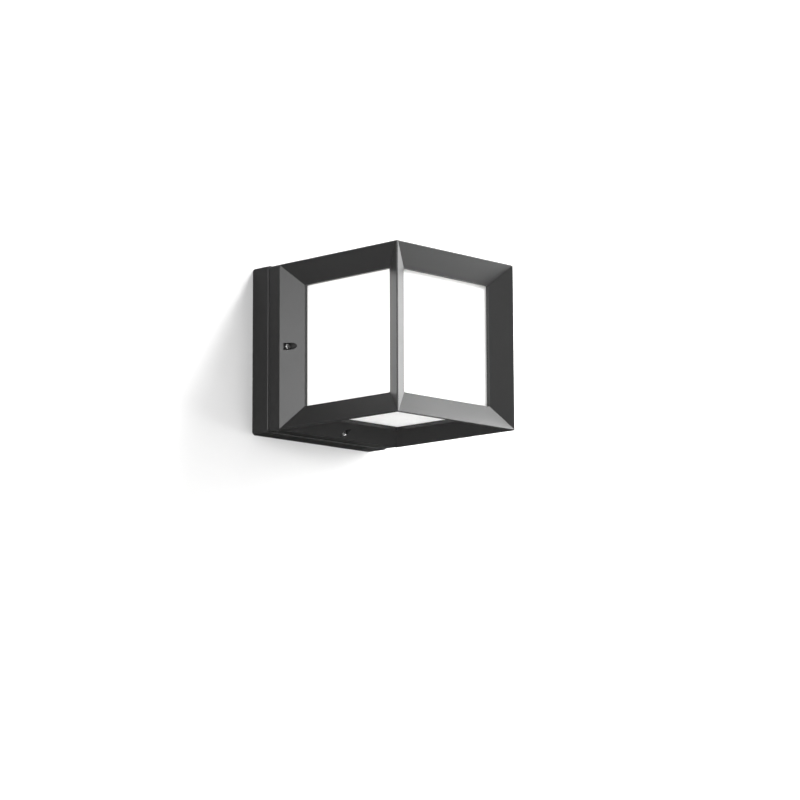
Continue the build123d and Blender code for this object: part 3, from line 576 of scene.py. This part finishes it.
def stage_paint(name, seen, bounced, reflected_painted_shade, reflected_painted_light):
    """Matt stage paint; seen is its own colour and bounced the colour of the light it sends on, which may be
    a painted darker copy that stands in for shade.

    In the lantern's reflections it shows painted shade, dark to the left and low down as a room's unlit side
    would be, and a painted pale tone to the upper right. It is clear from behind and to whatever lies against
    it, so that the lantern's back is seen and lit.
    """
    made, tree = start_material(name)
    path = add(tree, "ShaderNodeLightPath")
    side = add(tree, "ShaderNodeNewGeometry")
    place = add(tree, "ShaderNodeTexCoord")
    across = add(tree, "ShaderNodeVectorMath", {"operation": "DOT_PRODUCT"})
    tree.links.new(place.outputs["Object"], across.inputs[0])
    across.inputs[1].default_value = MIRROR_MIX
    spread = add(tree, "ShaderNodeMapRange", values={"From Min": MIRROR_DARK_BELOW,
                 "From Max": MIRROR_PALE_ABOVE}, links={"Value": across.outputs["Value"]})
    painted_reflection_tone = blend_colours(tree, spread.outputs["Result"], linear(reflected_painted_shade), linear(reflected_painted_light))
    # Glossy rays see the painted reflection tones and diffuse rays see the bounced colour, which for the
    # floor is painted shade
    tone = blend_colours(tree, path.outputs["Is Glossy Ray"], linear(seen), painted_reflection_tone)
    sent = blend_colours(tree, path.outputs["Is Diffuse Ray"], tone, linear(bounced))
    matt = add(tree, "ShaderNodeBsdfDiffuse", links={"Color": sent})
    clear = add(tree, "ShaderNodeBsdfTransparent")
    near = add(tree, "ShaderNodeMath", {"operation": "LESS_THAN"})
    tree.links.new(path.outputs["Ray Length"], near.inputs[0])
    near.inputs[1].default_value = THROUGH_WALL
    open_side = add(tree, "ShaderNodeMath", {"operation": "MAXIMUM"})
    tree.links.new(side.outputs["Backfacing"], open_side.inputs[0])
    tree.links.new(near.outputs[0], open_side.inputs[1])
    both = add(tree, "ShaderNodeMixShader", links={"Fac": open_side.outputs[0]})
    tree.links.new(matt.outputs[0], both.inputs[1])
    tree.links.new(clear.outputs[0], both.inputs[2])
    add(tree, "ShaderNodeOutputMaterial", links={"Surface": both.outputs["Shader"]})
    return made


class LANTERN_OT_stage(bpy.types.Operator):
    """Makes the wall, the floor, the lights and the camera"""

    bl_idname = "lantern.stage"
    bl_label = "Studio"

    def execute(self, context):
        choice = settings().studio
        scene = context.scene
        # Painted shade: the wall's reflected tone runs from dark 343434 to pale f0f0f0, and the floor, pale
        # to the camera, sends on a darker acacac and shows a dark 2c2c2c to 383838 in reflections
        wall = stage_paint("stage_wall_white_painted_reflection", "f4f4f4", "f4f4f4", "343434", "f0f0f0")
        floor = stage_paint("stage_floor_pale_painted_shade", "e6e6e4", "acacac", "2c2c2c", "383838")
        low, near = -FLOOR_DROP, WALL_GAP
        sheet_mesh("stage_wall", [(-STAGE_REACH, near, low), (STAGE_REACH, near, low),
                                  (STAGE_REACH, near, WALL_TOP), (-STAGE_REACH, near, WALL_TOP)], wall)
        sheet_mesh("stage_floor", [(-STAGE_REACH, -STAGE_REACH, low), (STAGE_REACH, -STAGE_REACH, low),
                                   (STAGE_REACH, 0.0, low), (-STAGE_REACH, 0.0, low)], floor)
        # Each softbox: its place, the point it faces, its width and height, and its power.
        middle, front, back = (0.0, -0.09, 0.0), (0.0, -0.12, 0.0), (0.0, 0.0, 0.0)
        softbox("stage_key", (0.78, -1.37, 1.32), middle, 0.55, 0.55, choice.key_power)
        softbox("stage_right", (1.10, -0.42, 0.16), front, 0.65, 1.1, choice.right_power)
        softbox("stage_left", (-1.30, -0.62, -0.02), front, 0.7, 0.8, choice.left_power)
        softbox("stage_high", (0.80, -0.68, 0.62), front, 0.2, 0.2, choice.high_power)
        softbox("stage_back", (0.60, 1.20, 0.60), back, 0.8, 0.8, choice.back_power)
        softbox("stage_low", (0.85, -0.80, -0.65), front, 0.7, 0.7, choice.low_power)
        world = bpy.data.worlds.new("stage_room")
        world.use_nodes = True
        world.node_tree.nodes.clear()
        room = add(world.node_tree, "ShaderNodeBackground", values={"Color": linear("fcfcfc"),
                   "Strength": choice.sky})
        add(world.node_tree, "ShaderNodeOutputWorld", links={"Surface": room.outputs["Background"]})
        scene.world = world
        scene.view_settings.view_transform = "Standard"
        camera = bpy.data.cameras.new("stage_camera")
        camera.lens, camera.sensor_width = choice.lens, 36.0
        camera.clip_start, camera.clip_end = 0.05, 30.0
        eye = bpy.data.objects.new("stage_camera", camera)
        scene.collection.objects.link(eye)
        eye.matrix_world = camera_matrix(choice)
        scene.camera = eye
        return {"FINISHED"}


def away(azimuth, elevation):
    """Unit vector from the lantern towards a viewer at these angles, in degrees."""
    a, e = math.radians(azimuth), math.radians(elevation)
    return Vector((math.sin(a) * math.cos(e), -math.cos(a) * math.cos(e), math.sin(e)))


def camera_matrix(choice):
    """Camera's place and turn from the studio settings."""
    back = away(choice.azimuth + choice.aim_side, choice.elevation + choice.aim_up)
    right = (-back).cross(Vector((0, 0, 1))).normalized()
    up = right.cross(-back)
    r = math.radians(choice.roll)
    right, up = right * math.cos(r) + up * math.sin(r), up * math.cos(r) - right * math.sin(r)
    turn = Matrix((right, up, back)).transposed().to_4x4()
    return Matrix.Translation(away(choice.azimuth, choice.elevation) * choice.distance) @ turn


# ---- add-on parts -----------------------------------------------------------------------------------------
STEPS = (LANTERN_OT_castings, LANTERN_OT_diffuser, LANTERN_OT_seals, LANTERN_OT_steelwork,
         LANTERN_OT_cover_screws, LANTERN_OT_lamp_holder, LANTERN_OT_lamp, LANTERN_OT_wiring,
         LANTERN_OT_stage)


class LANTERN_PT_panel(bpy.types.Panel):
    """Sidebar panel with the lantern's settings and steps"""

    bl_idname = "LANTERN_PT_panel"
    bl_label = "Wall lantern"
    bl_space_type = "VIEW_3D"
    bl_region_type = "UI"
    bl_category = "Lantern"

    def draw(self, context):
        choice = context.scene.lantern
        for group in (choice.coating, choice.glazing, choice.studio):
            box = self.layout.box()
            for name in group.__annotations__:
                box.prop(group, name)
        for step in STEPS:
            self.layout.operator(step.bl_idname)


CLASSES = (LanternCoating, LanternGlazing, LanternStudio, LanternSettings, *STEPS, LANTERN_PT_panel)


def register():
    for item in CLASSES:
        bpy.utils.register_class(item)
    bpy.types.Scene.lantern = PointerProperty(type=LanternSettings)


def unregister():
    del bpy.types.Scene.lantern
    for item in reversed(CLASSES):
        bpy.utils.unregister_class(item)


def main():
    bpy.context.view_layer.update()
    register()
    for step in STEPS:
        group, name = step.bl_idname.split(".")
        getattr(getattr(bpy.ops, group), name)()


if __name__ == "__main__":
    main()
